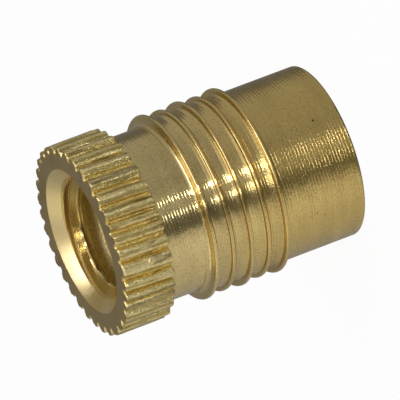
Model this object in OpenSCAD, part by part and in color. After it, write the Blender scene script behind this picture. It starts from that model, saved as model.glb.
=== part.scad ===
// Threaded insert, turned from one piece of brass. A short knurled head holds the mouth of a
// right-hand metric thread that runs right through. Behind the head come a plain neck, a row of
// thin gripping rings that are large and small by turns, and a plain tail.
// The insert stands on its tail end: the origin is the centre of that end, and +Z runs along the
// thread and out of the mouth. All sizes are millimetres.
// The bore is the thread's minor diameter, which is what a screw's core passes through.

/* [Length] */
// Whole length, from the tail end to the mouth
total_len = 16.7; // [13:0.1:40]
// Length of the knurled head
head_len = 3.3; // [1:0.1:6.5]
// Length of the plain neck, from the head to the front of the first ring
neck_len = 2.95; // [0.6:0.05:6]

/* [Thread and bore] */
// Nominal diameter of the metric thread
thread_d = 8; // [3:0.5:9.5]
// Pitch of the thread
thread_pitch = 1.25; // [0.5:0.05:1.5]
// How much wider than the thread the countersink at the mouth is
mouth_over = 1.3; // [0.2:0.1:1.6]
// How much wider than the thread the chamfer at the tail is
tail_over = 0.4; // [0.1:0.1:1]
// Full angle of both countersinks, in degrees
countersink_angle = 90; // [60:5:120]

/* [Knurled head] */
// Diameter over the crests of the knurl
head_d = 12.3; // [11.7:0.1:18]
// Number of straight grooves around the head
knurl_grooves = 35; // [12:1:48]
// Depth of a groove below the crests
groove_depth = 0.45; // [0.1:0.05:0.5]
// Width of a groove where the round shoulders of its two teeth come closest
groove_w = 0.18; // [0.1:0.02:0.3]
// Radius of the round shoulder on each side of a tooth
shoulder_r = 0.44; // [0.3:0.02:0.5]

/* [Barrel] */
// Diameter of the neck behind the head
neck_d = 10.6; // [9.6:0.1:11.2]
// Diameter of the lands between the rings and of the tail
body_d = 11; // [10:0.1:11.4]

/* [Gripping rings] */
// Number of rings
ring_count = 5; // [1:1:7]
// Distance from one ring to the next
ring_pitch = 1.22; // [0.6:0.02:2]
// Diameter of the first ring and of every second one after it
large_ring_d = 11.95; // [11.8:0.05:13]
// Diameter of the rings between them
small_ring_d = 11.75; // [11.5:0.05:13]
// Width of a ring along the axis at its crest
ring_crest_w = 0.12; // [0.05:0.01:0.24]
// Width of a ring along the axis at its root
ring_root_w = 0.28; // [0.12:0.01:0.5]

/* [Edges] */
// Bevel that breaks the outer edges of the head and the tail
edge_break = 0.1; // [0.02:0.01:0.2]
// Radius left by the tool in the corner under the head
corner_r = 0.2; // [0.05:0.05:0.4]

/* [Hidden] */
$fn = 120;
brass = [0.73, 0.64, 0.42];

// ISO metric profile: the minor diameter lies five eighths of the sharp height in on each side
sharp_height = thread_pitch * sqrt(3) / 2;
minor_d = thread_d - 2 * 5 / 8 * sharp_height;

mouth_d = thread_d + mouth_over;
tail_d = thread_d + tail_over;
cone_slope = tan(countersink_angle / 2);
mouth_depth = (mouth_d - minor_d) / 2 / cone_slope;
tail_depth = (tail_d - minor_d) / 2 / cone_slope;

head_z = total_len - head_len;
first_ring_z = head_z - neck_len;
last_ring_z = first_ring_z - (ring_count - 1) * ring_pitch;

// How far a cut runs past the surface that it opens, and a piece into the one that carries it
past = 0.5;

function ring_d(i) = i % 2 == 0 ? large_ring_d : small_ring_d;

// The knurling wheel slipped where its last turn met the first. From this tooth on, the teeth are
// wider or narrower than an even one by these shares of it.
slip_tooth = 17;
slips = [0.3, 0.12, 0.3, -0.23, -0.24, -0.11, 0.15, -0.08, -0.14, -0.35, -0.06, -0.04, 0.12];

function slip(i) = i < slip_tooth || i >= slip_tooth + len(slips) ? 0 : slips[i - slip_tooth];
function sum_of_slips(n) = n == 0 ? 0 : slip(n - 1) + sum_of_slips(n - 1);

// Place of a groove round the head, in degrees. The slips' sum is shared out over all the teeth, so
// that they close the circle.
function groove_turn(i) =
  360 / knurl_grooves * (i + sum_of_slips(i) - i / knurl_grooves * sum_of_slips(knurl_grooves));

// How far the shoulders' arcs would reach past the crests, which leaves each tooth a narrow land
shoulder_over = 0.02;

// One groove of the knurl, seen along the axis, at angle zero: a wedge with a flat floor, less the
// round shoulders of the two teeth beside it
module groove_outline() {
  crest = head_d / 2;
  floor_r = crest - groove_depth;
  centre_r = crest + shoulder_over - shoulder_r;
  half_wedge = asin((groove_w / 2 + shoulder_r) / centre_r);
  flare = tan(half_wedge);
  outside = crest + past;
  difference() {
    polygon([
      [floor_r, -floor_r * flare],
      [outside, -outside * flare],
      [outside, outside * flare],
      [floor_r, floor_r * flare]
    ]);
    for (side = [-1, 1]) rotate(side * half_wedge) translate([centre_r, 0]) circle(r = shoulder_r, $fn = 32);
  }
}

module knurl_outline() {
  difference() {
    circle(d = head_d);
    for (i = [0:knurl_grooves - 1]) rotate(groove_turn(i)) groove_outline();
  }
}

// The turned blank of the head, with both outer edges broken
module head_blank() {
  r = head_d / 2;
  rotate_extrude() polygon([
    [0, 0],
    [r - edge_break, 0],
    [r, edge_break],
    [r, head_len - edge_break],
    [r - edge_break, head_len],
    [0, head_len]
  ]);
}

module head() {
  translate([0, 0, head_z]) intersection() {
    head_blank();
    linear_extrude(head_len) knurl_outline();
  }
}

// Tail and lands: a plain cylinder up to the front of the first ring
module tail() {
  r = body_d / 2;
  rotate_extrude() polygon([
    [0, 0],
    [r - edge_break, 0],
    [r, edge_break],
    [r, first_ring_z - ring_crest_w],
    [0, first_ring_z - ring_crest_w]
  ]);
}

module neck() {
  translate([0, 0, first_ring_z - past]) cylinder(d = neck_d, h = neck_len + 2 * past);
}

// The radius in the corner between the neck and the underside of the head
module head_corner() {
  r = neck_d / 2;
  rotate_extrude() difference() {
    translate([0, head_z - corner_r]) square([r + corner_r, corner_r + past]);
    translate([r + corner_r, head_z - corner_r]) circle(r = corner_r, $fn = 32);
  }
}

// A ring has a square front towards the head and a slanted back. It stands at z = 0 on its front.
module ring(d) {
  root_r = min(neck_d, body_d) / 2 - past;
  slant = (ring_root_w - ring_crest_w) / (d - body_d) * 2;
  rotate_extrude() polygon([
    [root_r, 0],
    [d / 2, 0],
    [d / 2, -ring_crest_w],
    [body_d / 2, -ring_crest_w - slant * (d - body_d) / 2],
    [root_r, -ring_root_w]
  ]);
}

module rings() {
  for (i = [0:ring_count - 1])
    translate([0, 0, first_ring_z - i * ring_pitch]) ring(ring_d(i));
}

module bore() {
  translate([0, 0, -past]) cylinder(d = minor_d, h = total_len + 2 * past);
  translate([0, 0, total_len - mouth_depth])
    cylinder(d1 = minor_d, d2 = mouth_d + 2 * past * cone_slope, h = mouth_depth + past);
  translate([0, 0, -past])
    cylinder(d1 = tail_d + 2 * past * cone_slope, d2 = minor_d, h = tail_depth + past);
}

module threaded_insert() {
  color(brass) difference() {
    union() {
      head();
      head_corner();
      neck();
      rings();
      tail();
    }
    bore();
  }
}

threaded_insert();
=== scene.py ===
"""Threaded insert of turned brass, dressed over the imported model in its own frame.

The insert stands on its tail end at the origin, and +Z runs along the thread and out of the mouth.
Lengths are in metres and angles in radians, except where a table or a material says that it gives
millimetres or degrees.
"""

import math

import bpy
import numpy as np
from mathutils import Matrix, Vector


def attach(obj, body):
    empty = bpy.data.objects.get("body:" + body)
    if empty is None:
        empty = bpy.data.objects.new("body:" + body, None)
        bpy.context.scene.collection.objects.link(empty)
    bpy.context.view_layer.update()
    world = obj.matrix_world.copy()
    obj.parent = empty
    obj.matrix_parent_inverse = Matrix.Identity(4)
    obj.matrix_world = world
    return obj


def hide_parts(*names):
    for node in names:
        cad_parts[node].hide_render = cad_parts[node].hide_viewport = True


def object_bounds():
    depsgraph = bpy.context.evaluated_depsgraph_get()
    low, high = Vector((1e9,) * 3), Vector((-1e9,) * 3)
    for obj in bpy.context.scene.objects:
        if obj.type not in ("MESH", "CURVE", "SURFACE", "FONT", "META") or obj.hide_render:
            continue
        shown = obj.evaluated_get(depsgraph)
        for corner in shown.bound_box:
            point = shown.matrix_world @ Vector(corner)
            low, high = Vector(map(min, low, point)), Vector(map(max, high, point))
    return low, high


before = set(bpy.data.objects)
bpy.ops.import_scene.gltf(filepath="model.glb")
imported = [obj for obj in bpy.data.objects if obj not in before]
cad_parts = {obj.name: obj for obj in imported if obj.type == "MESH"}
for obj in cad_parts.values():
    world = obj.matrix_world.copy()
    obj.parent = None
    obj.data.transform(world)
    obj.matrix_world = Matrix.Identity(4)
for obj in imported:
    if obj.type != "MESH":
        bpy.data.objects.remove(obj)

bl_info = {
    "name": "Threaded brass insert",
    "version": (1, 0, 0),
    "blender": (4, 5, 0),
    "location": "3D View > Sidebar > Insert",
    "description": "Builds a knurled threaded insert with gripping rings, its brass and a small studio",
    "category": "Object",
}

CAD_BOX = [list(corner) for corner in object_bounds()]
PACKED_LENGTH = CAD_BOX[1][2] - CAD_BOX[0][2]
MM = 0.001
FULL_TURN = 2 * math.pi
BACK = math.radians(92.8)  # the side of the insert that lies away from the camera
BORE_COLUMNS, BARREL_COLUMNS = 288, 256  # points in one ring of the bore and in one of the barrel
SHARP_DEGREES = 34  # faces that meet at more than this keep a sharp edge

# The knurling wheel slipped: from this tooth on, teeth are wider or narrower by these shares
SLIP_TOOTH = 17
SLIPS = (0.3, 0.12, 0.3, -0.23, -0.24, -0.11, 0.15, -0.08, -0.14, -0.35, -0.06, -0.04, 0.12)

# Small dark pits in the tail: angle about the axis from -Y in degrees, height and radius in millimetres
PITS = ((23.0, 1.79, 0.085), (-36.1, 3.32, 0.055), (-39.2, 2.82, 0.055))

# Painted dark reflections along the knurl: angle about the axis from -Y and half width in degrees, and
# strength
PAINTED_DARK_REFLECTIONS = ((32.3, 1.0, 0.75), (-44.3, 0.8, 0.7), (-49.6, 0.6, 0.6), (-54.4, 0.7, 0.6))

# Strip lamps: name, sideways angle from the camera in degrees, and share of the strips' power
STRIPS = (("strip_left", -9.4, 1.0), ("strip_right", 10.2, 0.65))

# Round lamps: name, sideways angle from the camera and height above the horizon in degrees
SPOTS = (("spot_left", 170.1, 82.3), ("spot_right", -135.8, 77.6))

# Brightness of the studio below and above the horizon: sideways angle from the camera in degrees, level
LOW_BAND = (
    (-180, 0.24), (-150, 0.16), (-130, 0.16), (-116, 0.42), (-100, 0.40), (-75, 0.37), (-50, 0.38),
    (-34, 0.32), (-18, 0.38), (0, 0.42), (8, 0.34), (15, 0.19), (21, 0.115), (33, 0.13), (37, 0.32),
    (42, 0.58), (50, 0.70), (66, 0.72), (80, 0.64), (105, 0.56), (130, 0.46), (155, 0.36), (180, 0.24),
)
UPPER_BAND = (
    (-180, 0.24), (-150, 0.28), (-125, 0.40), (-95, 0.44), (-50, 0.40), (-10, 0.38), (8, 0.34),
    (16, 0.20), (22, 0.15), (33, 0.17), (40, 0.50), (60, 0.66), (100, 0.56), (130, 0.44), (155, 0.32),
    (180, 0.24),
)

# Patches of the studio above the horizon, each laid over those before it: the directions of its middle
# as sideways angle and height, how far from there it ends and is full, all in degrees, and its colour.
# The last is a strip of light with two bends in it.
PATCHES = (
    (((100.0, 46.0),), 27, 10, (0.86, 0.84, 0.78)),
    (((-143.0, 44.0),), 32, 15, (0.25, 0.215, 0.14)),
    (((-42.0, 54.0),), 42, 28, (0.82, 0.80, 0.74)),
    (((-170.0, 70.0),), 32, 24, (0.26, 0.215, 0.13)),
    (((-32.0, 66.0), (-52.0, 62.5), (-68.0, 57.0)), 13, 7, (3.8, 3.8, 4.4)),
)
STRAIGHT_DOWN = (0.10, 0.085, 0.06)  # colour of the studio under the insert

TAIL_RADIUS = 5.5 * MM

KIND_FACE, KIND_KNURL, KIND_BARREL, KIND_BORE, KIND_CONE = range(5)


def length(name, description, default, low=0.0, high=0.05):
    """A length in metres, shown in the scene's own unit."""
    return bpy.props.FloatProperty(
        name=name,
        description=description,
        default=default,
        min=low,
        max=high,
        precision=5,
        step=0.001,
        subtype="DISTANCE",
        unit="LENGTH",
    )


def angle(name, description, degrees):
    """An angle, kept in radians and shown in degrees."""
    return bpy.props.FloatProperty(
        name=name,
        description=description,
        default=math.radians(degrees),
        subtype="ANGLE",
        unit="ROTATION",
    )


def share(name, description, default):
    """A plain number from nought to one."""
    return bpy.props.FloatProperty(
        name=name, description=description, default=default, min=0.0, max=1.0, subtype="FACTOR"
    )


def power(name, description, default):
    """The power of a lamp, in watts."""
    return bpy.props.FloatProperty(
        name=name, description=description, default=default, min=0.0, unit="POWER"
    )


def count(name, description, default, low, high):
    """A whole number."""
    return bpy.props.IntProperty(
        name=name, description=description, default=default, min=low, max=high
    )


def colour(name, description, default):
    """A linear colour."""
    return bpy.props.FloatVectorProperty(
        name=name, description=description, default=default, size=3, min=0.0, max=1.0, subtype="COLOR"
    )


class InsertSizes(bpy.types.PropertyGroup):
    """Sizes of the insert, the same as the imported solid's, and of the detail cut into it."""

    total_length: length("Length", "Whole length, from the tail end to the mouth", PACKED_LENGTH)
    head_length: length("Head length", "Length of the knurled head", 3.3 * MM)
    neck_length: length("Neck length", "From the head to the first ring", 2.95 * MM)
    head_radius: length("Head radius", "Radius over the crests of the knurl", 6.15 * MM)
    neck_radius: length("Neck radius", "Radius of the plain neck", 5.3 * MM)
    body_radius: length("Body radius", "Radius of the lands and of the tail", TAIL_RADIUS)
    grooves: count("Grooves", "Number of straight grooves in the knurl", 35, 12, 48)
    groove_depth: length("Groove depth", "Depth of a knurl groove", 0.45 * MM)
    groove_gap: length("Groove gap", "Width of a groove where its shoulders come closest", 0.18 * MM)
    shoulder_radius: length("Shoulder radius", "Radius of the shoulder on each side of a tooth", 0.44 * MM)
    shoulder_over: length("Shoulder over", "How far a shoulder's arc would reach past the crest", 0.02 * MM)
    front_round: length("Front round", "Radius that rounds the front edge of the teeth", 0.115 * MM)
    knurl_score: length("Knurl score", "Depth of the score marks that run along the teeth", 0.075 * MM)
    knurl_ridge: length("Knurl ridge", "Height of the fine ridges that run along the teeth", 0.008 * MM)
    knurl_dent: length("Knurl dent", "Depth of the small dents in the teeth", 0.009 * MM)
    knurl_twist: angle("Knurl twist", "How far a groove turns along the length of the head", 1.3)
    rings: count("Rings", "Number of gripping rings", 5, 1, 7)
    ring_pitch: length("Ring pitch", "Distance from one ring to the next", 1.22 * MM)
    large_ring_radius: length("Large ring radius", "Radius of the first ring and each second one", 5.975 * MM)
    small_ring_radius: length("Small ring radius", "Radius of the rings between them", 5.875 * MM)
    ring_crest: length("Ring crest", "Width of a ring at its crest", 0.03 * MM)
    ring_root: length("Ring root", "From a ring's crest to the root of its slanted back", 0.28 * MM)
    ring_round: length("Ring round", "Radius of the round between a ring's front and its crest", 0.13 * MM)
    foot_length: length("Foot length", "Length of the hollow that leads up to a ring's front", 0.46 * MM)
    ring_back_round: length("Ring back round", "Radius of the round behind a ring's crest", 0.09 * MM)
    edge_break: length("Edge break", "Bevel on the outer edges of the head and the tail", 0.1 * MM)
    corner_radius: length("Corner radius", "Radius in the corner under the head", 0.2 * MM)
    thread_radius: length("Thread radius", "Nominal radius of the thread", 4.0 * MM)
    thread_pitch: length("Thread pitch", "Pitch of the thread", 1.25 * MM)
    mouth_radius: length("Mouth radius", "Radius of the countersink at the mouth", 4.65 * MM)
    mouth_slope: bpy.props.FloatProperty(
        name="Mouth slope",
        description="How much the countersink's radius shrinks for its depth",
        default=1.06,
        min=0.5,
    )
    tail_mouth_radius: length("Tail mouth radius", "Radius of the chamfer at the tail", 4.2 * MM)
    thread_start: length("Thread start", "From the mouth to the first crest, at the back", 1.443 * MM)
    thread_round: length("Thread round", "How far the thread's crest is rounded off at its edges", 0.036 * MM)
    root_over: length("Root over", "How far the thread's root is cut past the nominal radius", 0.12 * MM)
    seed: count("Seed", "Seed of the small irregularities of the knurl", 11, 0, 9999)


class BrassFinish(bpy.types.PropertyGroup):
    """Colours and gloss of the brass on each kind of surface."""

    neck_colour: colour("Neck", "Brass of the neck and lands", (0.80, 0.64, 0.30))
    tail_colour: colour("Tail", "Brass of the tail", (0.76, 0.565, 0.205))
    knurl_colour: colour("Knurl", "Brass on the crests of the knurl", (0.96, 0.82, 0.43))
    # painted shade: an orange copy of the knurl's brass that stands in for the shade in its grooves
    groove_shade_colour: colour("Groove", "Brass in the grooves of the knurl", (0.95, 0.77, 0.29))
    # painted shade: a darker brown copy of the knurl's brass in its score marks
    score_shade_colour: colour("Score", "Brass in the score marks of the knurl", (0.54, 0.42, 0.15))
    face_colour: colour("Face", "Brass of the faced front", (0.49, 0.385, 0.19))
    cone_colour: colour("Countersink", "Brass of the countersink", (0.82, 0.66, 0.33))
    bore_colour: colour("Bore", "Brass of the thread", (0.72, 0.51, 0.14))
    # painted light: paler brass deeper down in the thread stands in for light that reaches there
    deep_light_colour: colour("Deep bore", "Brass deeper down in the thread", (1.0, 0.85, 0.42))
    # painted highlight on the thread's crest near the mouth
    crest_highlight_colour: colour("Thread crest", "Painted highlight on the thread's crest near the mouth", (0.80, 0.66, 0.36))
    # painted light in the root of the thread's first turn, which lifts the shade there
    root_light_colour: colour("Thread root", "Brass in the root of the thread's first turn", (0.95, 0.76, 0.33))
    stain_colour: colour("Stain", "Old oil in corners and pits", (0.24, 0.15, 0.045))
    pit_colour: colour("Pit", "Dirt in the small pits of the tail", (0.06, 0.04, 0.02))
    # painted dark reflections along the knurl
    dark_reflection_colour: colour("Dark reflection", "Painted dark reflections along the knurl", (0.13, 0.11, 0.06))
    barrel_roughness: share("Barrel roughness", "Roughness of the turned barrel", 0.15)
    knurl_roughness: share("Knurl roughness", "Roughness of the knurl", 0.26)
    face_roughness: share("Face roughness", "Roughness of the faced front", 0.42)
    cone_roughness: share("Countersink roughness", "Roughness of the countersink", 0.30)
    bore_roughness: share("Bore roughness", "Roughness of the thread", 0.15)
    mark_depth: length("Mark depth", "Depth of the turning marks", 0.013 * MM)
    streak_depth: length("Streak depth", "Depth of the knurl's lengthwise streaks", 0.085 * MM)
    faced_depth: length("Faced depth", "Depth of the marks on the front and in the countersink", 0.002 * MM)


class StudioSettings(bpy.types.PropertyGroup):
    """Floor, camera and light."""

    camera_azimuth: angle("Camera azimuth", "Turn of the camera about the insert", 2.8)
    camera_elevation: angle("Camera elevation", "Height of the camera above the horizon", 19.1)
    camera_roll: angle("Camera roll", "Roll of the camera about its sight line", -110.7)
    camera_distance: length("Camera distance", "From the camera to its target", 0.61, 0.05, 5.0)
    lens: bpy.props.FloatProperty(
        name="Lens",
        description="Focal length in millimetres",
        default=900.0,
        min=10.0,
        subtype="DISTANCE_CAMERA",
    )
    target_up: length("Target up", "From the insert's middle up to the camera's target", 0.237 * MM, -0.01)
    target_right: length("Target right", "From the insert's middle to the right", -0.188 * MM, -0.01)
    floor_colour: colour("Floor", "Colour of the floor and backdrop", (0.95, 0.95, 0.95))
    floor_white: share("Floor white", "How far the floor is lifted to white in the picture", 0.94)
    lamp_power: power("Lamp power", "Power of a strip lamp at its full share", 0.29)
    lamp_width: length("Lamp width", "Width of a strip lamp", 0.012, high=1.0)
    lamp_length: length("Lamp length", "Length of a strip lamp", 0.4, high=1.0)
    lamp_distance: length("Lamp distance", "From the insert to the middle of a lamp", 0.4, high=5.0)
    lamp_elevation: angle("Lamp elevation", "Height of the middle of a strip lamp above the horizon", 21.0)
    spot_power: power("Spot power", "Power of each of the two round lamps", 0.03)
    spot_size: length("Spot size", "Diameter of a round lamp", 0.026, high=1.0)


class Shell:
    """A closed surface gathered from rings of points that run round the Z axis."""

    def __init__(self):
        self.points, self.scores, self.faces, self.kinds, self.count = [], [], [], [], 0

    def rows(self, radius, theta, height, score=0.0):
        """Adds a grid of points, row by row: x = radius cos theta, y = radius sin theta, z = height.
        The score tells how far down in a score mark of the knurl each point lies."""
        given = map(np.atleast_2d, (radius, theta, height, score))
        radius, theta, height, score = np.broadcast_arrays(*given)
        xyz = np.stack([radius * np.cos(theta), radius * np.sin(theta), height], -1)
        self.points.append(xyz.reshape(-1, 3))
        self.scores.append(score.ravel())
        index = self.count + np.arange(radius.size).reshape(radius.shape)
        self.count += radius.size
        return index

    def add(self, triangles, kind, flip=False):
        """Adds triangles and leaves out those that have shrunk to a line."""
        t = triangles.reshape(-1, 3)
        t = t[(t[:, 0] != t[:, 1]) & (t[:, 1] != t[:, 2]) & (t[:, 2] != t[:, 0])]
        self.faces.append(t[:, ::-1] if flip else t)
        self.kinds.append(np.full(len(t), kind))

    def band(self, index, kind, flip=False):
        """Joins each row of a grid to the next one, closed round the axis: two triangles a cell."""
        a, b = index[:-1], index[1:]
        a1, b1 = np.roll(a, -1, 1), np.roll(b, -1, 1)
        self.add(np.stack([a, a1, b1, a, b1, b], -1), kind, flip)

    def stitch(self, lower, upper, kind, flip=False):
        """Joins two closed rings of different counts. Walking round both by angle, each step takes
        the ring whose next point comes first, and closes one triangle with it."""
        xyz = np.concatenate(self.points)
        a = np.unwrap(np.arctan2(xyz[lower, 1], xyz[lower, 0]))
        b = np.unwrap(np.arctan2(xyz[upper, 1], xyz[upper, 0]))
        b = b - FULL_TURN * np.round((b[0] - a[0]) / FULL_TURN)
        first = np.argmin(np.abs(b - a[0]))
        b = np.concatenate([b[first:], b[:first] + FULL_TURN])
        upper = np.roll(upper, -first)
        steps = np.concatenate([np.append(a[1:], a[0] + FULL_TURN), np.append(b[1:], b[0] + FULL_TURN)])
        from_lower = np.concatenate([np.ones(len(a), int), np.zeros(len(b), int)])
        order = np.argsort(steps, kind="stable")
        from_lower = from_lower[order]
        i = np.cumsum(from_lower) - from_lower
        j = np.cumsum(1 - from_lower) - (1 - from_lower)
        here_a, here_b = lower[i % len(a)], upper[j % len(b)]
        after = np.where(from_lower == 1, lower[(i + 1) % len(a)], upper[(j + 1) % len(b)])
        self.add(np.stack([here_a, after, here_b], -1), kind, flip)

    def object(self, name, materials):
        """Puts the gathered points and triangles into a mesh object at the origin."""
        xyz = np.concatenate(self.points).astype(np.float32)
        tri = np.concatenate(self.faces).astype(np.int32)
        kind = np.concatenate(self.kinds).astype(np.int32)
        mesh = bpy.data.meshes.new(name)
        mesh.vertices.add(len(xyz))
        mesh.vertices.foreach_set("co", xyz.ravel())
        mesh.loops.add(tri.size)
        mesh.loops.foreach_set("vertex_index", tri.ravel())
        mesh.polygons.add(len(tri))
        mesh.polygons.foreach_set("loop_start", np.arange(0, tri.size, 3, dtype=np.int32))
        mesh.polygons.foreach_set("material_index", kind)
        for material in materials:
            mesh.materials.append(material)
        mesh.update(calc_edges=True)
        scores = mesh.attributes.new("score", "FLOAT", "POINT")
        scores.data.foreach_set("value", np.concatenate(self.scores).astype(np.float32))
        if mesh.validate():
            raise RuntimeError(name + " has broken faces")
        mesh.shade_smooth()
        mesh.set_sharp_from_angle(angle=math.radians(SHARP_DEGREES))
        piece = bpy.data.objects.new(name, mesh)
        bpy.context.scene.collection.objects.link(piece)
        return piece


def groove_places(s):
    """Angle of each groove: even places, moved on by the slips before it, less an even share of all
    the slips, so that the teeth close the circle."""
    i = np.arange(s.grooves)
    slips = np.zeros(s.grooves)
    slips[SLIP_TOOTH:SLIP_TOOTH + len(SLIPS)] = SLIPS
    before = np.cumsum(slips) - slips
    return FULL_TURN / s.grooves * (i + before - i / s.grooves * slips.sum())


def knurl_outline(s, rng):
    """Outline of the knurl seen along the axis, as angles and radii of one groove and tooth a row.
    A ray at an angle d from the middle of a shoulder's circle meets it at
    radius = c cos d + sqrt(R^2 - (c sin d)^2), where c is the circle's distance from the axis and R
    its radius. The outline is the least of that for both neighbours and of the crest, and where the
    ray passes between two circles it is the groove's slightly dished floor."""
    crest, n = s.head_radius, s.grooves
    middle = groove_places(s)
    width = np.roll(middle, -1) - middle
    width[-1] += FULL_TURN
    gap = s.groove_gap / 2 * (1 + rng.normal(0, 0.12, n).clip(-0.25, 0.25))
    floor = crest - s.groove_depth * (1 + rng.normal(0, 0.04, n).clip(-0.1, 0.06))
    c, radius = crest + s.shoulder_over - s.shoulder_radius, s.shoulder_radius
    half_wedge = np.arcsin((gap + radius) / c)

    def beside(distance, k):
        """Radius at that angle from the middle of groove k."""
        d = distance - half_wedge[k][:, None]
        inside = radius**2 - (c * np.sin(d)) ** 2
        on_circle = c * np.cos(d) + np.sqrt(np.maximum(inside, 0))
        across = np.clip(distance * c / gap[k][:, None], 0, 1)
        dished = floor[k][:, None] + (c - floor[k][:, None]) * 0.9 * across**4
        return np.where(d > 0, crest, np.where(inside > 0, on_circle, dished))

    half = np.array([0.05, 0.085, 0.11, 0.135, 0.165, 0.2]) * MM / crest
    groove = np.concatenate([-half[::-1], [0.0], half]) * np.ones((n, 1))
    tooth = half[-1] + (width[:, None] - 2 * half[-1]) * np.linspace(0, 1, 15)[1:-1]
    from_groove = np.concatenate([groove, tooth], 1)
    k = np.arange(n)
    r = np.minimum(beside(np.abs(from_groove), k), beside(width[:, None] - from_groove, (k + 1) % n))
    across = (from_groove / width[:, None]).clip(0, 1)
    return middle[:, None] + from_groove, np.minimum(r, crest), across


def score_marks(s, across, rows, rng):
    """Score marks along the teeth, from 0 to 1. Each is a bell curve exp(-((x - x0) / w)^2), where x is
    the place across the tooth, from 0 to 1. A wide tooth has two of them and a narrow one has one in
    its middle. Each wanders a little and comes and goes along the head."""
    n = len(across)
    half_width = 0.105 * MM / s.head_radius
    width = np.diff(np.append(groove_places(s), FULL_TURN))
    wide = width > 0.93 * FULL_TURN / s.grooves
    marks = np.zeros((rows, n, across.shape[1]))
    for usual, chosen in ((0.5, ~wide), (0.27, wide), (0.71, wide)):
        middle = rng.uniform(usual - 0.05, usual + 0.05, n)
        wander = blurred(rng.normal(0, 1, (rows, n)), 0, 4) * 0.02
        usual_strength = rng.uniform(0.75, 1.0, n)
        strength = (usual_strength + 0.15 * blurred(rng.normal(0, 1, (rows, n)), 0, 3)).clip(0, 1)
        away = (across[None] - (middle + wander)[:, :, None]) / (half_width / width)[None, :, None]
        marks = np.maximum(marks, np.exp(-away**2) * (strength * chosen)[:, :, None])
    return marks.reshape(rows, -1)


def blurred(noise, axis, reach):
    """Noise averaged over that many neighbours each way, round the ring, and brought to unit spread."""
    soft = sum(np.roll(noise, k, axis) * (reach + 1 - abs(k)) for k in range(-reach, reach + 1))
    return soft / soft.std()


def knurl_side(s, rng):
    """Side of the head, from its underside to the face, as grids of radius, angle, height and score.
    Along the head the outline turns by a small twist and each groove wavers. The radius is less by the
    score marks, fine ridges and small dents. At the front the whole outline shrinks along its own normal
    by f (1 - cos a) at a depth f (1 - sin a), a quarter round of radius f that differs a little from
    tooth to tooth, and at the back by half the edge break."""
    angles, radii, across = knurl_outline(s, rng)
    n = len(angles)
    turn = np.radians([0, 16, 32, 48, 64, 78, 90])
    between = 16  # rows between the bevel at the back and the round at the front
    f, e = s.front_round, s.edge_break
    depth = np.concatenate([
        [s.head_length, s.head_length - 0.3 * e, s.head_length - 0.8 * e],
        np.linspace(s.head_length - 1.6 * e, 1.8 * f, between),
        f * (1 - np.sin(turn)),
    ])
    inset = np.concatenate([[0.5 * e, 0.2 * e, 0], np.zeros(between), f * (1 - np.cos(turn))])
    u = (1 - depth / s.head_length)[:, None, None]
    knots = np.linspace(0, 1, 9)
    waver = rng.normal(0, 0.010 * MM, (len(knots), n)).cumsum(0)
    waver -= waver.mean(0)
    wave = np.stack([np.interp(u[:, 0, 0], knots, waver[:, k]) for k in range(n)], 1)[:, :, None]
    wave = wave * (1 - across) + np.roll(wave, -1, 1) * across
    theta = angles + s.knurl_twist * (u - 0.5) + wave / s.head_radius
    score = score_marks(s, across, len(depth), rng)
    ridges = blurred(rng.normal(0, 1, (1, radii.size)), 1, 2)
    dents = blurred(blurred(rng.normal(0, 1, (len(depth), radii.size)), 1, 2), 0, 1)
    marked = s.knurl_ridge * (2 + ridges.clip(-2, 2)) + s.knurl_dent * np.abs(dents)
    radius = radii.reshape(1, -1) - (marked + s.knurl_score * score)
    theta = theta.reshape(len(depth), -1)
    x, y = radius * np.cos(theta), radius * np.sin(theta)
    dx, dy = np.roll(x, -1, 1) - np.roll(x, 1, 1), np.roll(y, -1, 1) - np.roll(y, 1, 1)
    step = np.hypot(dx, dy)
    by_tooth = rng.normal(0, 1, (1, n, 1)).clip(-1.5, 1.5)
    by_point = rng.normal(0, 1, (1, n, across.shape[1])).clip(-2, 2)
    uneven = 1 + 0.22 * by_tooth + 0.12 * by_point
    cut = inset[:, None] * uneven.reshape(1, -1).clip(0.4, 1.5)
    x, y = x - cut * dy / step, y + cut * dx / step
    score = (score + 0.15 * ridges).clip(0, 1)
    return np.hypot(x, y), np.arctan2(y, x), s.total_length - depth, score


def ring_profile(s, index):
    """Half outline of one ring from its foot to its back root, as radius and distance below its crest.
    The foot is an arc that starts level with the land and rises to its steepest, where it meets the
    upright front. The first ring's foot is steeper and shorter. A quarter round leads from the front
    on to the crest, and behind a second round the back slants down to the root."""
    crest = s.large_ring_radius if index % 2 == 0 else s.small_ring_radius
    root = s.neck_radius if index == 0 else s.body_radius
    f, b = s.ring_round, s.ring_back_round
    steepest_degrees, length_share = (66, 0.62) if index == 0 else (30, 1.0)
    steepest = math.radians(steepest_degrees)
    foot = np.linspace(0, steepest, 6)
    arc = s.foot_length / math.sin(steepest) * length_share
    front = np.radians([0, 18, 36, 54, 72, 90])
    behind = np.radians([18, 36, 54])
    radius = [
        root + arc * (1 - np.cos(foot)),
        crest - f + f * np.sin(front),
        crest - b + b * np.cos(behind),
        s.body_radius + np.array([0.05, 0.012, 0.0]) * MM,
    ]
    below = [
        -f - arc * (math.sin(steepest) - np.sin(foot)),
        -f * np.cos(front),
        s.ring_crest + b * np.sin(behind),
        s.ring_root - np.array([0.02, -0.01, -0.05]) * MM,
    ]
    return np.concatenate(radius), np.concatenate(below)


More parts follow.
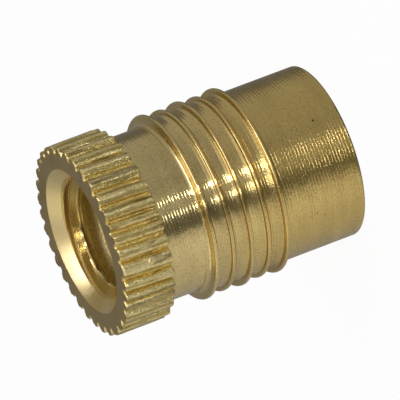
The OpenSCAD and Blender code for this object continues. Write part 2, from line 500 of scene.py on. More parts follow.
def barrel_profile(s):
    """Outline from the corner under the head down to the tail edge, as radius and height: a quarter
    round, the plain neck, the rings with the lands between them, the tail and its broken edge."""
    head_z = s.total_length - s.head_length
    c = s.corner_radius
    a = np.radians([90, 112.5, 135, 157.5, 180])
    radius = [s.neck_radius + c + c * np.cos(a)]
    height = [head_z - c + c * np.sin(a)]
    first = head_z - s.neck_length
    radius.append(np.array([s.neck_radius]))
    height.append(np.array([head_z - c - 0.04 * MM]))
    for i in range(s.rings):
        r, below = ring_profile(s, i)
        radius.append(r)
        height.append(first - i * s.ring_pitch - below)
    e = s.edge_break
    radius.append(s.body_radius - np.array([0, 0, 0.12, 0.5, 0.9, 1.2]) * e)
    height.append(np.array([1.5, 1.1, 0.8, 0.4, 0.08, 0]) * e)
    return np.concatenate(radius), np.concatenate(height)


def thread_radius(s, theta, height):
    """Radius of the bore: the larger of the thread's radius and the two countersinks'. With c as the
    distance from the middle of the nearest crest, in pitches, the thread's radius is the minor radius,
    plus a round r (8 c)^2 that is r at the crest's edge, c = 1/8, plus a straight flank that reaches
    the nominal radius at c = 7/16. The flank runs on past it to a root that is cut deeper. The crest
    rises one pitch a turn, anticlockwise seen from the mouth. The mouth's countersink is its radius less
    slope times depth, and the tail's has a slope of one."""
    p = s.thread_pitch
    minor = s.thread_radius - 5 / 8 * math.sqrt(3) / 2 * p
    crest_edge, flank_width = 0.125, 0.3125
    crest_z = s.total_length - s.thread_start + p * (theta - BACK) / FULL_TURN
    away = np.abs((height - crest_z) / p - np.round((height - crest_z) / p))
    rounded = s.thread_round * np.minimum(away / crest_edge, 1) ** 2
    rise = s.thread_radius - minor - s.thread_round
    flank = np.clip(rise / flank_width * (away - crest_edge), 0, rise + s.root_over)
    thread = minor + rounded + flank
    mouth = s.mouth_radius - s.mouth_slope * (s.total_length - height)
    cone = np.maximum(mouth, s.tail_mouth_radius - height)
    return np.maximum(thread, cone)


def thread_zone(shell, s, low, high, stations, columns, ring_high=None):
    """Bore between two level rings as a grid that climbs with the thread. The stations are the places of
    the rows in one pitch, from the middle of a crest. Row k of column i stands at
    base + pitch (k-th station + i / columns), so the rows follow the crests and roots. One turn on,
    the grid meets itself one pitch higher, and rows past an end shrink onto that end's ring."""
    p = s.thread_pitch
    per = len(stations)
    stations = np.sort(stations % 1.0)
    crest = s.total_length - s.thread_start
    base = crest - p * math.ceil((crest - low) / p + 1)
    k = np.arange(per * (math.ceil((high - base) / p) + 1))
    rise = base + p * (k // per + stations[k % per])
    climb = np.arange(columns) / columns
    theta = BACK + FULL_TURN * climb
    z = rise[:, None] + p * climb[None, :]
    ring_low = shell.rows(thread_radius(s, theta, low), theta, low)[0]
    if ring_high is None:
        ring_high = shell.rows(thread_radius(s, theta, high), theta, high)[0]
    free = (z > low) & (z < high)
    index = np.where(z <= low, ring_low[None, :], ring_high[None, :])
    turned = np.broadcast_to(theta, z.shape)[free]
    index[free] = shell.rows(thread_radius(s, turned, z[free]), turned, z[free])[0]
    one_turn_on = np.concatenate([index[per:, 0], np.full(per, ring_high[0])])
    ahead = np.concatenate([index[:, 1:], one_turn_on[:, None]], 1)
    a, b, a1, b1 = index[:-1], index[1:], ahead[:-1], ahead[1:]
    shell.add(np.stack([a, b, b1, a, b1, a1], -1), KIND_BORE)
    return ring_low, ring_high


def insert_shell(s):
    """The whole insert as one closed surface: knurled side, faced front, countersink, thread, tail
    chamfer, tail end, barrel with its rings, and the underside of the head."""
    shell = Shell()
    top = s.total_length
    head_z = top - s.head_length
    near = 0.03 * MM  # a row this close to an edge keeps the shading of the flat beside it even
    lip = 0.025 * MM  # unit of the small rounds at both ends of the bore

    radius, theta, z, score = knurl_side(s, np.random.default_rng(s.seed))
    side = shell.rows(radius, theta, z[:, None], score)
    shell.band(side, KIND_KNURL)
    rim = shell.rows(radius[-1] - near, theta[-1], top)
    shell.band(np.concatenate([side[-1:], rim]), KIND_FACE)
    under = shell.rows(radius[0] - near, theta[0], head_z)
    shell.band(np.concatenate([side[:1], under]), KIND_BARREL, flip=True)

    inner = FULL_TURN * np.arange(BORE_COLUMNS) / BORE_COLUMNS
    lips = shell.rows(s.mouth_radius + np.array([[1.5], [0.7], [0.15], [-0.5], [-1.6]]) * lip, inner,
                      top - np.array([[0.0], [0.0], [0.25], [0.75], [1.6]]) * lip)
    shell.stitch(rim[0], lips[0], KIND_FACE)
    shell.band(lips[:3], KIND_FACE)
    shell.band(lips[2:], KIND_CONE)
    # the thread has fine rows where it is seen through the mouth, and coarser ones deeper down
    cone_low = top - (s.mouth_radius - s.thread_radius)
    tail_low = s.tail_mouth_radius - s.thread_radius
    split = top - 3.6 * MM
    fine = np.concatenate([
        np.linspace(-0.125, 0.125, 5)[:-1],
        np.linspace(0.125, 0.4375, 9)[:-1],
        np.linspace(0.4375, 0.5625, 4)[:-1],
        np.linspace(0.5625, 0.875, 9)[:-1],
    ])
    coarse = np.array([-0.125, 0.0, 0.125, 0.28, 0.4375, 0.5, 0.5625, 0.72])
    middle, cone_foot = thread_zone(shell, s, split, cone_low, fine, BORE_COLUMNS)
    tail_foot, _ = thread_zone(shell, s, tail_low, split, coarse, BORE_COLUMNS, middle)
    shell.stitch(cone_foot, lips[-1], KIND_CONE, flip=True)

    # the rings' crests run very slightly out of round
    r, h = barrel_profile(s)
    around = FULL_TURN * np.arange(BARREL_COLUMNS) / BARREL_COLUMNS
    wobble = np.sin(3 * around + 0.7) + 0.6 * np.sin(7 * around + 2.1) + 0.5 * np.sin(13 * around + 4.0)
    proud = np.clip((r - s.body_radius - 0.2 * MM) / (0.2 * MM), 0, 1)
    worn = 0.004 * MM * (1 + wobble[None, :] / 2.1) * proud[:, None]
    barrel = shell.rows(r[:, None] - worn, around, h[:, None])
    shell.band(barrel, KIND_BARREL, flip=True)
    shell.stitch(under[0], barrel[0], KIND_BARREL, flip=True)

    mouth = shell.rows(s.tail_mouth_radius + np.array([[0.9], [0.3], [-0.4], [-1.4]]) * lip, inner,
                       np.array([[0.0], [0.0], [0.4], [1.4]]) * lip)
    foot = shell.rows(r[-1] - near, around, 0.0)
    shell.band(np.concatenate([barrel[-1:], foot]), KIND_BARREL, flip=True)
    shell.stitch(foot[0], mouth[0], KIND_BARREL, flip=True)
    shell.band(mouth, KIND_CONE, flip=True)
    shell.stitch(mouth[-1], tail_foot, KIND_CONE, flip=True)
    return shell


class Wiring:
    """Short calls that add nodes to a node tree and join them."""

    def __init__(self, tree):
        self.tree, self.column = tree, 0

    def put(self, kind, **settings):
        """Adds a node of that kind, with its settings."""
        made = self.tree.nodes.new(kind)
        made.location = (self.column * 190, -(self.column % 5) * 160)
        self.column += 1
        for name, value in settings.items():
            setattr(made, name, value)
        return made

    def join(self, source, target):
        """Joins an output to an input, or sets the input to a plain value."""
        if isinstance(source, bpy.types.NodeSocket):
            self.tree.links.new(source, target)
        else:
            target.default_value = source

    def maths(self, operation, first, second=0.5, third=0.5, clamp=False):
        """One Math node: operation on two or three values."""
        made = self.put("ShaderNodeMath", operation=operation, use_clamp=clamp)
        for value, target in zip((first, second, third), made.inputs):
            self.join(value, target)
        return made.outputs[0]

    def combine(self, x, y, z):
        """A vector from three values."""
        made = self.put("ShaderNodeCombineXYZ")
        for value, target in zip((x, y, z), made.inputs):
            self.join(value, target)
        return made.outputs[0]

    def noise(self, vector, scale=1.0, detail=2.0, roughness=0.5):
        """Noise between 0 and 1 at that vector."""
        made = self.put("ShaderNodeTexNoise")
        self.join(vector, made.inputs["Vector"])
        self.join(scale, made.inputs["Scale"])
        self.join(detail, made.inputs["Detail"])
        self.join(roughness, made.inputs["Roughness"])
        return made.outputs["Fac"]

    def span(self, value, low, high, to_low=0.0, to_high=1.0):
        """Maps low..high smoothly onto to_low..to_high, held at both ends."""
        made = self.put("ShaderNodeMapRange", interpolation_type="SMOOTHSTEP")
        given = {"Value": value, "From Min": low, "From Max": high, "To Min": to_low, "To Max": to_high}
        for name, v in given.items():
            self.join(v, made.inputs[name])
        return made.outputs["Result"]

    def cosine_to(self, direction, aim):
        """Cosine between a direction and a fixed one, both of unit length."""
        made = self.put("ShaderNodeVectorMath", operation="DOT_PRODUCT")
        self.join(direction, made.inputs[0])
        made.inputs[1].default_value = aim
        return made.outputs["Value"]

    def blend(self, amount, first, second):
        """Mixes two colours."""
        made = self.put("ShaderNodeMix", data_type="RGBA", blend_type="MIX", clamp_factor=True)
        self.join(amount, made.inputs["Factor"])
        for value, name in ((first, "A"), (second, "B")):
            target = [i for i in made.inputs if i.name == name and i.type == "RGBA"][0]
            if not isinstance(value, bpy.types.NodeSocket) and len(value) == 3:
                value = (*value, 1.0)
            self.join(value, target)
        return [o for o in made.outputs if o.type == "RGBA"][0]


def group(name, inputs, outputs):
    """A new shader node group with its named sockets, ready for wiring."""
    tree = bpy.data.node_groups.new(name, "ShaderNodeTree")
    for socket, kind, default in inputs:
        made = tree.interface.new_socket(socket, in_out="INPUT", socket_type="NodeSocket" + kind)
        if default is not None:
            made.default_value = default
    for socket, kind in outputs:
        tree.interface.new_socket(socket, in_out="OUTPUT", socket_type="NodeSocket" + kind)
    w = Wiring(tree)
    return tree, w, w.put("NodeGroupInput").outputs, w.put("NodeGroupOutput").inputs


def round_place_group():
    """Where a point lies round the Z axis, in millimetres: its radius and height, and the cosine and
    sine of its angle."""
    tree, w, given, made = group(
        "Round place",
        [("Vector", "Vector", None)],
        [("Radius", "Float"), ("Height", "Float"), ("Cosine", "Float"), ("Sine", "Float")],
    )
    split = w.put("ShaderNodeSeparateXYZ")
    w.join(given["Vector"], split.inputs[0])
    x = w.maths("MULTIPLY", split.outputs["X"], 1000.0)
    y = w.maths("MULTIPLY", split.outputs["Y"], 1000.0)
    squares = w.maths("ADD", w.maths("MULTIPLY", x, x), w.maths("MULTIPLY", y, y))
    radius = w.maths("SQRT", squares)
    safe = w.maths("MAXIMUM", radius, 0.001)
    w.join(radius, made["Radius"])
    w.join(w.maths("MULTIPLY", split.outputs["Z"], 1000.0), made["Height"])
    w.join(w.maths("DIVIDE", x, safe), made["Cosine"])
    w.join(w.maths("DIVIDE", y, safe), made["Sine"])
    return tree


def turning_marks_group(place):
    """Grooves left by the tool, running round the axis. Measured along the outline (height plus
    radius), which drifts a little, each groove is a parabola that meets its neighbours in sharp edges:
    depth (4 c^2 - 1) at a share c of its width from its middle. Some patches are shallower. Noise that
    is much finer along the outline and drawn out along the turn lies on top, with an even grain."""
    tree, w, given, made = group(
        "Turning marks",
        [
            ("Vector", "Vector", None),
            ("Marks per mm", "Float", 5.0),
            ("Shallow", "Float", 0.4),
            ("Fine", "Float", 0.2),
            ("Grain", "Float", 0.02),
        ],
        [("Height", "Float"), ("Broad", "Float"), ("Sparse", "Float")],
    )
    spot = w.put("ShaderNodeGroup", node_tree=place)
    w.join(given["Vector"], spot.inputs[0])
    out = spot.outputs
    along = w.maths("ADD", out["Height"], w.maths("MULTIPLY", out["Radius"], 0.83))

    def round_noise(turns, per_mm, detail, roughness):
        """Noise with so many features a radian round the axis and so many a millimetre along."""
        x = w.maths("MULTIPLY", out["Cosine"], turns)
        y = w.maths("MULTIPLY", out["Sine"], turns)
        return w.noise(w.combine(x, y, w.maths("MULTIPLY", along, per_mm)), 1.0, detail, roughness)

    drifting = w.maths("MULTIPLY_ADD", round_noise(0.5, 2.6, 1.0, 0.5), 0.14, along)
    place_in = w.maths("FRACT", w.maths("MULTIPLY", drifting, given["Marks per mm"]))
    across = w.maths("SUBTRACT", w.maths("MULTIPLY", place_in, 2.0), 1.0)
    groove = w.maths("SUBTRACT", w.maths("MULTIPLY", across, across), 1.0)
    sparse = round_noise(2.5, 2.6, 1.0, 0.5)
    broad = round_noise(0.8, 1.1, 3.0, 0.5)
    worn = round_noise(20.0, 4.0, 1.0, 0.5)
    shallow = w.span(sparse, 0.35, 0.65, given["Shallow"], 1.0)
    deep = w.maths("MULTIPLY", shallow, w.span(worn, 0.3, 0.6, 0.75, 1.0))
    fine = w.maths("SUBTRACT", round_noise(3.0, 26.0, 1.0, 0.5), 0.5)
    grain = w.maths("SUBTRACT", w.noise(given["Vector"], 15000.0, 1.0, 0.5), 0.5)
    height = w.maths("ADD", w.maths("MULTIPLY", groove, deep), w.maths("MULTIPLY", fine, given["Fine"]))
    w.join(w.maths("ADD", height, w.maths("MULTIPLY", grain, given["Grain"])), made["Height"])
    w.join(broad, made["Broad"])
    w.join(sparse, made["Sparse"])
    return tree


def lengthwise_streaks_group(place):
    """Scratches along the axis, as a knurling wheel leaves them: noise that is fine round the axis
    and drawn out along it, with grain in it. Low marks the bottom of the scratches."""
    tree, w, given, made = group(
        "Lengthwise streaks",
        [("Vector", "Vector", None), ("Streaks per mm", "Float", 9.0), ("Along per mm", "Float", 0.9)],
        [("Height", "Float"), ("Patch", "Float"), ("Low", "Float")],
    )
    spot = w.put("ShaderNodeGroup", node_tree=place)
    w.join(given["Vector"], spot.inputs[0])
    out = spot.outputs
    crest_radius = 6.15
    across = w.maths("MULTIPLY", given["Streaks per mm"], crest_radius)
    x = w.maths("MULTIPLY", out["Cosine"], across)
    y = w.maths("MULTIPLY", out["Sine"], across)
    z = w.maths("MULTIPLY", out["Height"], given["Along per mm"])

    def streaks(round_share, along_share, detail, roughness):
        """Noise with so much more or less detail round the axis and along it."""
        px = w.maths("MULTIPLY", x, round_share)
        py = w.maths("MULTIPLY", y, round_share)
        pz = w.maths("MULTIPLY", z, along_share)
        return w.noise(w.combine(px, py, pz), 1.0, detail, roughness)

    streak = streaks(1.0, 1.0, 3.0, 0.65)
    grain = streaks(1.5, 7.0, 2.0, 0.6)
    patch = streaks(0.45, 0.3, 3.0, 0.6)
    height = w.maths("ADD", w.maths("MULTIPLY", streak, 0.5), w.maths("MULTIPLY", grain, 0.5))
    w.join(height, made["Height"])
    w.join(patch, made["Patch"])
    w.join(w.span(height, 0.54, 0.43), made["Low"])
    return tree


def tarnish_group():
    """Brass that is not one colour: large soft blotches, fine grain, and small dark specks."""
    tree, w, given, made = group(
        "Tarnish",
        [
            ("Vector", "Vector", None),
            ("Metal", "Color", (0.76, 0.61, 0.285, 1.0)),
            ("Stain", "Color", (0.24, 0.15, 0.045, 1.0)),
            ("Blotches", "Float", 0.15),
            ("Flecks", "Float", 0.1),
            ("Specks", "Float", 0.5),
        ],
        [("Color", "Color")],
    )
    blotch = w.noise(given["Vector"], 420.0, 3.0, 0.55)
    grain = w.noise(given["Vector"], 8500.0, 2.0, 0.7)
    cells = w.put("ShaderNodeTexVoronoi")
    w.join(given["Vector"], cells.inputs["Vector"])
    cells.inputs["Scale"].default_value = 640.0
    dot = w.span(cells.outputs["Distance"], 0.04, 0.085, 1.0, 0.0)
    chance = w.put("ShaderNodeSeparateColor")
    w.join(cells.outputs["Color"], chance.inputs[0])
    few = w.maths("GREATER_THAN", chance.outputs[0], 0.86)
    speck = w.maths("MULTIPLY", w.maths("MULTIPLY", dot, few), given["Specks"])
    soft = w.maths("MULTIPLY", w.span(blotch, 0.42, 0.72), given["Blotches"])
    fleck = w.maths("MULTIPLY", w.span(grain, 0.42, 0.68), given["Flecks"])
    mask = w.maths("ADD", w.maths("MAXIMUM", soft, fleck), speck, clamp=True)
    w.join(w.blend(mask, given["Metal"], given["Stain"]), made["Color"])
    return tree


def new_material(name, metal, roughness):
    """A material with one Principled shader as plain metal, its wiring, and the place on the piece."""
    made = bpy.data.materials.new(name)
    made.use_nodes = True
    made.diffuse_color = (*metal, 1.0)
    made.metallic, made.roughness = 1.0, roughness
    tree = made.node_tree
    shader = tree.nodes["Principled BSDF"]
    shader.inputs["Metallic"].default_value = 1.0
    shader.inputs["Base Color"].default_value = (*metal, 1.0)
    shader.inputs["Roughness"].default_value = roughness
    w = Wiring(tree)
    where = w.put("ShaderNodeTexCoord").outputs["Object"]
    return made, w, shader, where


def bumped(w, shader, height, distance):
    """Feeds the shader's normal with a bump of that height."""
    bump = w.put("ShaderNodeBump")
    bump.inputs["Strength"].default_value = 1.0
    bump.inputs["Distance"].default_value = distance
    w.join(height, bump.inputs["Height"])
    w.join(bump.outputs["Normal"], shader.inputs["Normal"])


def placed(w, tree, where, **values):
    """A node group in a material, with its own values and the place on the surface."""
    made = w.put("ShaderNodeGroup", node_tree=tree)
    w.join(where, made.inputs["Vector"])
    for name, value in values.items():
        target = made.inputs[name.replace("_", " ")]
        if not isinstance(value, bpy.types.NodeSocket) and target.type == "RGBA":
            value = (*value, 1.0)
        w.join(value, target)
    return made.outputs


def tarnished(w, finish, groups, where, metal, **values):
    """Colour of that metal under its tarnish."""
    stain = tuple(finish.stain_colour)
    return placed(w, groups["tarnish"], where, Metal=metal, Stain=stain, **values)["Color"]


def about_axis(degrees):
    """Unit vector that points away from the axis at that angle from -Y."""
    turn = math.radians(degrees)
    return np.array([math.sin(turn), -math.cos(turn), 0.0])


def barrel_brass(finish, groups):
    """Turned brass of the neck, the rings and the tail: marks round the axis that are deeper on the tail,
    paler metal at the neck and yellower towards the tail, and three small pits in the tail. Heights are
    in millimetres."""
    made, w, shader, where = new_material("turned_brass", tuple(finish.neck_colour), finish.barrel_roughness)
    place = placed(w, groups["place"], where)
    grain = w.span(place["Height"], 5.0, 8.5, 0.4, 0.13)
    marks = placed(w, groups["marks"], where, Marks_per_mm=4.8, Shallow=0.6, Fine=0.15, Grain=grain)
    lengthways = w.span(place["Height"], 3.5, 12.5)
    metal = w.blend(lengthways, tuple(finish.tail_colour), tuple(finish.neck_colour))
    metal = tarnished(w, finish, groups, where, metal, Blotches=0.12, Flecks=0.34, Specks=0.8)
    dirt = w.span(marks["Broad"], 0.35, 0.7, 0.0, 0.18)
    metal = w.blend(dirt, metal, tuple(finish.stain_colour))
    for degrees, height, radius in PITS:
        away = w.put("ShaderNodeVectorMath", operation="DISTANCE")
        w.join(where, away.inputs[0])
        away.inputs[1].default_value = TAIL_RADIUS * about_axis(degrees) + (0.0, 0.0, height * MM)
        pit = w.span(away.outputs["Value"], 0.5 * radius * MM, 1.2 * radius * MM, 0.85, 0.0)
        metal = w.blend(pit, metal, tuple(finish.pit_colour))
    w.join(metal, shader.inputs["Base Color"])
    rough = w.maths("ADD", w.span(place["Height"], 4.0, 12.0, 0.04, -0.03), finish.barrel_roughness)
    w.join(rough, shader.inputs["Roughness"])
    deeper = w.span(place["Height"], 5.0, 8.0, 1.6, 1.0)
    bumped(w, shader, w.maths("MULTIPLY", marks["Height"], deeper), finish.mark_depth)
    return made


def knurl_brass(finish, groups):
    """Knurled brass: pale crests with lengthwise scratches, painted shade in orange down in the grooves and
    in brown in the score marks, and painted dark reflections along a few teeth. Radii are in millimetres."""
    made, w, shader, where = new_material("knurled_brass", tuple(finish.knurl_colour), finish.knurl_roughness)
    place = placed(w, groups["place"], where)
    streaks = placed(w, groups["streaks"], where, Streaks_per_mm=6.0, Along_per_mm=1.3)
    # painted shade: the groove colour is laid deep in the grooves and at the bottoms of the lengthwise
    # scratches
    down = w.span(place["Radius"], 5.64, 5.88, 1.0, 0.0)
    down = w.maths("MAXIMUM", down, w.maths("MULTIPLY", streaks["Low"], 0.6))
    metal = w.blend(down, tuple(finish.knurl_colour), tuple(finish.groove_shade_colour))
    score = w.put("ShaderNodeAttribute", attribute_name="score").outputs["Fac"]
    # painted shade: the score marks, which are also cut into the surface, are darkened to a brown copy of the
    # brass
    metal = w.blend(w.span(score, 0.1, 0.7), metal, tuple(finish.score_shade_colour))
    metal = tarnished(w, finish, groups, where, metal, Blotches=0.2, Flecks=0.5, Specks=0.3)
    dull = w.span(streaks["Patch"], 0.58, 0.66, 0.0, 0.7)
    metal = w.blend(dull, metal, tuple(finish.stain_colour))
    outward = w.combine(place["Cosine"], place["Sine"], 0.0)
    # painted dark reflections: dark streaks laid along the knurl at listed angles round the axis
    for degrees, half_width, strength in PAINTED_DARK_REFLECTIONS:
        cosine = w.cosine_to(outward, about_axis(degrees))
        far, full = np.cos(np.radians([1.4 * half_width, 0.5 * half_width]))
        broken = w.span(streaks["Height"], 0.35, 0.6, 0.3, strength)
        dark_reflection = w.maths("MULTIPLY", w.span(cosine, far, full), broken)
        metal = w.blend(dark_reflection, metal, tuple(finish.dark_reflection_colour))
    w.join(metal, shader.inputs["Base Color"])
    rougher = w.maths("MULTIPLY", streaks["Patch"], 0.14)
    w.join(w.maths("ADD", finish.knurl_roughness - 0.05, rougher), shader.inputs["Roughness"])
    bumped(w, shader, streaks["Height"], finish.streak_depth)
    return made


def satin_brass(finish, groups, name, metal, roughness, uneven, marks_values, tarnish_values):
    """Satin brass with fine marks in circles, for the front and the countersink. Uneven is how much the
    roughness differs between the patches of the marks, half of it each way."""
    made, w, shader, where = new_material(name, metal, roughness)
    marks = placed(w, groups["marks"], where, **marks_values)
    w.join(tarnished(w, finish, groups, where, metal, **tarnish_values), shader.inputs["Base Color"])
    rougher = w.maths("MULTIPLY", marks["Sparse"], uneven)
    w.join(w.maths("ADD", roughness - uneven / 2, rougher), shader.inputs["Roughness"])
    bumped(w, shader, marks["Height"], finish.faced_depth)
    return made


def face_brass(finish, groups):
    """The faced front: dull, with fine marks in circles round the mouth."""
    marks = {"Marks_per_mm": 9.0, "Shallow": 0.2, "Fine": 0.4, "Grain": 1.5}
    tarnish = {"Blotches": 0.25, "Flecks": 0.15, "Specks": 0.4}
    metal, roughness = tuple(finish.face_colour), finish.face_roughness
    return satin_brass(finish, groups, "faced_brass", metal, roughness, 0.1, marks, tarnish)


def cone_brass(finish, groups):
    """The countersink: pale, satin, with a few marks round it."""
    marks = {"Marks_per_mm": 7.0, "Shallow": 0.1, "Fine": 0.6, "Grain": 1.0}
    tarnish = {"Blotches": 0.12, "Specks": 0.2}
    metal, roughness = tuple(finish.cone_colour), finish.cone_roughness
    return satin_brass(finish, groups, "countersunk_brass", metal, roughness, 0.12, marks, tarnish)


def bore_brass(finish, groups):
    """The thread: deep yellow on its first flank, with a painted highlight on the crest near the mouth and
    painted light in the first root, and duller below the first turn, where painted light makes the brass
    paler, with dark flecks all over. Radii and heights are in millimetres."""
    made, w, shader, where = new_material("threaded_brass", tuple(finish.bore_colour), finish.bore_roughness)
    place = placed(w, groups["place"], where)
    marks = placed(w, groups["marks"], where, Marks_per_mm=7.0, Shallow=0.6, Fine=0.3, Grain=0.1)
    # painted highlight: the pale crest colour is kept near the mouth and fades out deeper down
    off_crest_highlight = w.maths("MAXIMUM", w.span(place["Radius"], 3.34, 3.46), w.span(place["Height"], 14.8, 14.4))
    metal = w.blend(off_crest_highlight, tuple(finish.crest_highlight_colour), tuple(finish.bore_colour))
    # painted light: the brass turns paler deeper down in the bore, where little light reaches
    metal = w.blend(w.span(place["Height"], 15.2, 14.8), metal, tuple(finish.deep_light_colour))
    # painted light: paler brass in the root of the first turn lifts the shade there; the same mask makes it
    # rougher
    first_turn_light = w.span(place["Height"], 15.4, 15.6, 0.0, 0.55)
    root = w.maths("MULTIPLY", w.span(place["Radius"], 3.78, 3.94), first_turn_light)
    metal = w.blend(root, metal, tuple(finish.root_light_colour))
    metal = tarnished(w, finish, groups, where, metal, Blotches=0.35, Flecks=0.45, Specks=0.6)
    dirt = w.span(marks["Broad"], 0.4, 0.65, 0.0, 0.3)
    metal = w.blend(dirt, metal, tuple(finish.stain_colour))
    w.join(metal, shader.inputs["Base Color"])
    rough = w.span(place["Height"], 15.2, 14.6, finish.bore_roughness, 2.3 * finish.bore_roughness)
    w.join(w.maths("MULTIPLY_ADD", root, 0.4, rough), shader.inputs["Roughness"])
    bumped(w, shader, marks["Height"], 0.3 * finish.mark_depth)
    return made


class INSERT_OT_build_insert(bpy.types.Operator):
    """Build the insert: one closed surface with its knurl, rings, countersink and thread"""

    bl_idname = "insert.build_insert"
    bl_label = "Build insert"

    def execute(self, context):
        """Works out the surface, gives it its brass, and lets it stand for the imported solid."""
        scene = context.scene
        finish = scene.brass_finish
        place = round_place_group()
        groups = {
            "place": place,
            "marks": turning_marks_group(place),
            "streaks": lengthwise_streaks_group(place),
            "tarnish": tarnish_group(),
        }
        materials = [
            face_brass(finish, groups),
            knurl_brass(finish, groups),
            barrel_brass(finish, groups),
            bore_brass(finish, groups),
            cone_brass(finish, groups),
        ]
        piece = insert_shell(scene.insert_sizes).object("brass_insert", materials)
        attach(piece, "root")
        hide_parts("threaded_insert")
        return {"FINISHED"}


def studio_direction(sideways, elevation):
    """Unit vector towards a place in the studio, from its sideways angle and its height in degrees. The
    camera lies towards -Y, and sideways angles grow towards -X."""
    a, e = math.radians(sideways), math.radians(elevation)
    return -math.sin(a) * math.cos(e), -math.cos(a) * math.cos(e), math.sin(e)


def studio_world(settings):
    """The studio by direction. A ramp over the sideways angle from the camera gives soft boxes and dark
    gaps, one ramp below the horizon and one above it. Round patches are laid over them: each is full
    within one angle of its middle, and fades out at another."""
    world = bpy.data.worlds.new("studio")
    bpy.context.scene.world = world
    world.use_nodes = True
    tree = world.node_tree
    background = tree.nodes["Background"]
    w = Wiring(tree)
    turn = w.put("ShaderNodeVectorRotate", rotation_type="Z_AXIS")
    w.join(w.put("ShaderNodeTexCoord").outputs["Generated"], turn.inputs["Vector"])
    turn.inputs["Angle"].default_value = -settings.camera_azimuth
    direction = turn.outputs[0]
    split = w.put("ShaderNodeSeparateXYZ")
    w.join(direction, split.inputs[0])
    x, y, z = split.outputs
    sideways = w.maths("ARCTAN2", w.maths("MULTIPLY", x, -1.0), w.maths("MULTIPLY", y, -1.0))
    along = w.maths("ADD", w.maths("DIVIDE", sideways, FULL_TURN), 0.5)

    def ramp(stops):
        """Warm grey levels over the sideways angle."""
        made = w.put("ShaderNodeValToRGB")
        made.color_ramp.interpolation = "EASE"
        elements = made.color_ramp.elements
        while len(elements) > 1:
            elements.remove(elements[-1])
        for n, (degrees, level) in enumerate(stops):
            position = degrees / 360 + 0.5
            element = elements[0] if n == 0 else elements.new(position)
            element.position = position
            element.color = (level, level * 0.985, level * 0.95, 1.0)
        w.join(along, made.inputs["Fac"])
        return made.outputs["Color"]

    seen = w.blend(w.span(z, -0.22, 0.0), ramp(LOW_BAND), ramp(UPPER_BAND))
    seen = w.blend(w.span(z, -0.95, -0.8, 1.0, 0.0), seen, STRAIGHT_DOWN)
    for middles, ends, full, patch in PATCHES:
        nearest = w.cosine_to(direction, studio_direction(*middles[0]))
        for middle in middles[1:]:
            nearest = w.maths("MAXIMUM", nearest, w.cosine_to(direction, studio_direction(*middle)))
        mask = w.span(nearest, math.cos(math.radians(ends)), math.cos(math.radians(full)))
        seen = w.blend(mask, seen, patch)
    w.join(seen, background.inputs["Color"])
    background.inputs["Strength"].default_value = 1.0


def floor_material(settings):
    """Plain pale floor, lifted to white where it is seen, while it keeps a soft shadow."""
    made = bpy.data.materials.new("pale_floor")
    made.use_nodes = True
    tree = made.node_tree
    w = Wiring(tree)
    shader = tree.nodes["Principled BSDF"]
    shader.inputs["Base Color"].default_value = (*settings.floor_colour, 1.0)
    shader.inputs["Roughness"].default_value = 0.9
    shader.inputs["Specular IOR Level"].default_value = 0.1
    rays = w.put("ShaderNodeLightPath").outputs
    mirrored = w.maths("MAXIMUM", rays["Is Glossy Ray"], rays["Is Transmission Ray"])
    seen = w.maths("MAXIMUM", rays["Is Camera Ray"], mirrored)
    glow = w.put("ShaderNodeEmission")
    glow.inputs["Color"].default_value = (1.0, 1.0, 1.0, 1.0)
    glow.inputs["Strength"].default_value = 1.0
    both = w.put("ShaderNodeMixShader")
    w.join(w.maths("MULTIPLY", seen, settings.floor_white), both.inputs[0])
    w.join(shader.outputs[0], both.inputs[1])
    w.join(glow.outputs[0], both.inputs[2])
    w.join(both.outputs[0], tree.nodes["Material Output"].inputs["Surface"])
    return made


def cove(settings):
    """Floor and backdrop in one sheet turned about the axis: flat, then a quarter round, then upright."""
    flat_radius, bend_radius, top = 1.2, 0.3, 1.6
    bend = np.radians(np.linspace(-90, 0, 9))
    radius = [[0.02, 0.2, 0.6], flat_radius + bend_radius * np.cos(bend), [flat_radius + bend_radius]]
    height = [[0.0, 0.0, 0.0], bend_radius + bend_radius * np.sin(bend), [top]]
    radius, height = np.concatenate(radius), np.concatenate(height)
    shell = Shell()
    around = np.linspace(0, FULL_TURN, 64, endpoint=False)
    rows = shell.rows(radius[:, None], around[None, :], height[:, None])
    shell.band(rows, 0, flip=True)
    centre = shell.rows(0.0, 0.0, 0.0)[0, 0]
    rim = rows[0]
    shell.add(np.stack([np.full(len(rim), centre), rim, np.roll(rim, -1)], -1), 0)
    return shell.object("studio_floor", [floor_material(settings)])


def stand(name, data, across, upwards, away, place):
    """Puts a lamp or camera in the scene with its own X, Y and Z along those vectors. It looks along
    its -Z."""
    matrix = np.eye(4)
    matrix[:3, 0], matrix[:3, 1], matrix[:3, 2], matrix[:3, 3] = across, upwards, away, place
    holder = bpy.data.objects.new(name, data)
    holder.matrix_world = Matrix(matrix)
    bpy.context.scene.collection.objects.link(holder)
    return holder


def add_lamp(settings, name, shape, watts, size, degrees, elevation):
    """An area lamp that faces the insert, at a sideways angle from the camera in degrees and at a
    height in radians. It isn't seen itself."""
    lamp = bpy.data.lights.new(name, "AREA")
    lamp.energy, lamp.shape = watts, shape
    lamp.size, lamp.size_y = size
    turn = settings.camera_azimuth - math.radians(degrees)
    flat = math.cos(elevation)
    across = np.array([math.cos(turn), math.sin(turn), 0.0])
    away = np.array([math.sin(turn) * flat, -math.cos(turn) * flat, math.sin(elevation)])
    holder = stand(name, lamp, across, np.cross(away, across), away, settings.lamp_distance * away)
    holder.visible_camera = False


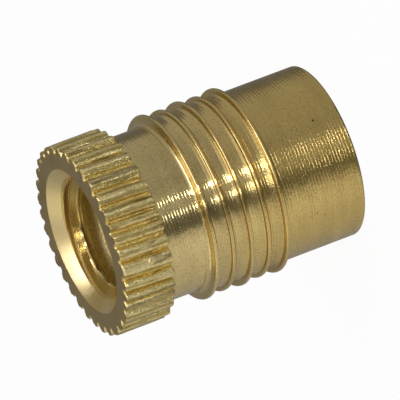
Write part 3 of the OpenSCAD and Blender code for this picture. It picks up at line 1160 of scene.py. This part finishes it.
def add_camera(settings):
    """The camera looks at a target near the middle of the insert, and is rolled about its sight line:
    right' = cos(roll) right + sin(roll) up, up' = cos(roll) up - sin(roll) right."""
    azimuth, elevation, roll = settings.camera_azimuth, settings.camera_elevation, settings.camera_roll
    flat = math.cos(elevation)
    right = np.array([math.cos(azimuth), math.sin(azimuth), 0.0])
    back = np.array([math.sin(azimuth) * flat, -math.cos(azimuth) * flat, math.sin(elevation)])
    up = np.cross(back, right)
    middle = np.array([0.0, 0.0, PACKED_LENGTH / 2])
    target = middle + settings.target_up * up + settings.target_right * right
    rolled_right = math.cos(roll) * right + math.sin(roll) * up
    rolled_up = -math.sin(roll) * right + math.cos(roll) * up
    data = bpy.data.cameras.new("camera")
    data.sensor_width = 36.0
    data.lens = settings.lens
    data.clip_start, data.clip_end = 0.02, 20.0
    place = target + settings.camera_distance * back
    return stand("camera", data, rolled_right, rolled_up, back, place)


class INSERT_OT_set_stage(bpy.types.Operator):
    """Set the stage: a pale floor and backdrop, the studio's light, strip and round lamps, and the camera"""

    bl_idname = "insert.set_stage"
    bl_label = "Set stage"

    def execute(self, context):
        """Makes the stage for the settings. The metal mirrors the studio and not the floor, and the
        floor casts no shadow, because the strips reach a little below it."""
        scene = context.scene
        settings = scene.studio_settings
        floor = cove(settings)
        floor.visible_glossy = False
        floor.visible_diffuse = False
        floor.visible_shadow = False
        studio_world(settings)
        strip_size = settings.lamp_width, settings.lamp_length
        for name, degrees, part in STRIPS:
            watts = part * settings.lamp_power
            add_lamp(settings, name, "RECTANGLE", watts, strip_size, degrees, settings.lamp_elevation)
        spot_size = settings.spot_size, settings.spot_size
        for name, degrees, height in SPOTS:
            elevation = math.radians(height)
            add_lamp(settings, name, "ELLIPSE", settings.spot_power, spot_size, degrees, elevation)
        scene.camera = add_camera(settings)
        scene.view_settings.view_transform = "Standard"
        return {"FINISHED"}


class INSERT_PT_panel(bpy.types.Panel):
    """Sidebar panel with the insert's sizes, finish and stage"""

    bl_idname = "INSERT_PT_panel"
    bl_label = "Threaded insert"
    bl_space_type = "VIEW_3D"
    bl_region_type = "UI"
    bl_category = "Insert"

    def draw(self, context):
        """Lists the settings and the two operators."""
        scene = context.scene
        for title, settings, operator in (
            ("Sizes", scene.insert_sizes, None),
            ("Finish", scene.brass_finish, INSERT_OT_build_insert.bl_idname),
            ("Studio", scene.studio_settings, INSERT_OT_set_stage.bl_idname),
        ):
            box = self.layout.box()
            box.label(text=title)
            for name in settings.__annotations__:
                box.prop(settings, name)
            if operator:
                box.operator(operator)


CLASSES = (
    InsertSizes,
    BrassFinish,
    StudioSettings,
    INSERT_OT_build_insert,
    INSERT_OT_set_stage,
    INSERT_PT_panel,
)


def register():
    """Registers the classes and hangs the settings on the scene."""
    for made in CLASSES:
        bpy.utils.register_class(made)
    bpy.types.Scene.insert_sizes = bpy.props.PointerProperty(type=InsertSizes)
    bpy.types.Scene.brass_finish = bpy.props.PointerProperty(type=BrassFinish)
    bpy.types.Scene.studio_settings = bpy.props.PointerProperty(type=StudioSettings)


def unregister():
    """Takes them away again."""
    del bpy.types.Scene.studio_settings
    del bpy.types.Scene.brass_finish
    del bpy.types.Scene.insert_sizes
    for made in reversed(CLASSES):
        bpy.utils.unregister_class(made)


def main():
    """Registers the add-on, and builds the insert and its stage."""
    register()
    bpy.ops.insert.build_insert()
    bpy.ops.insert.set_stage()


if __name__ == "__main__":
    main()
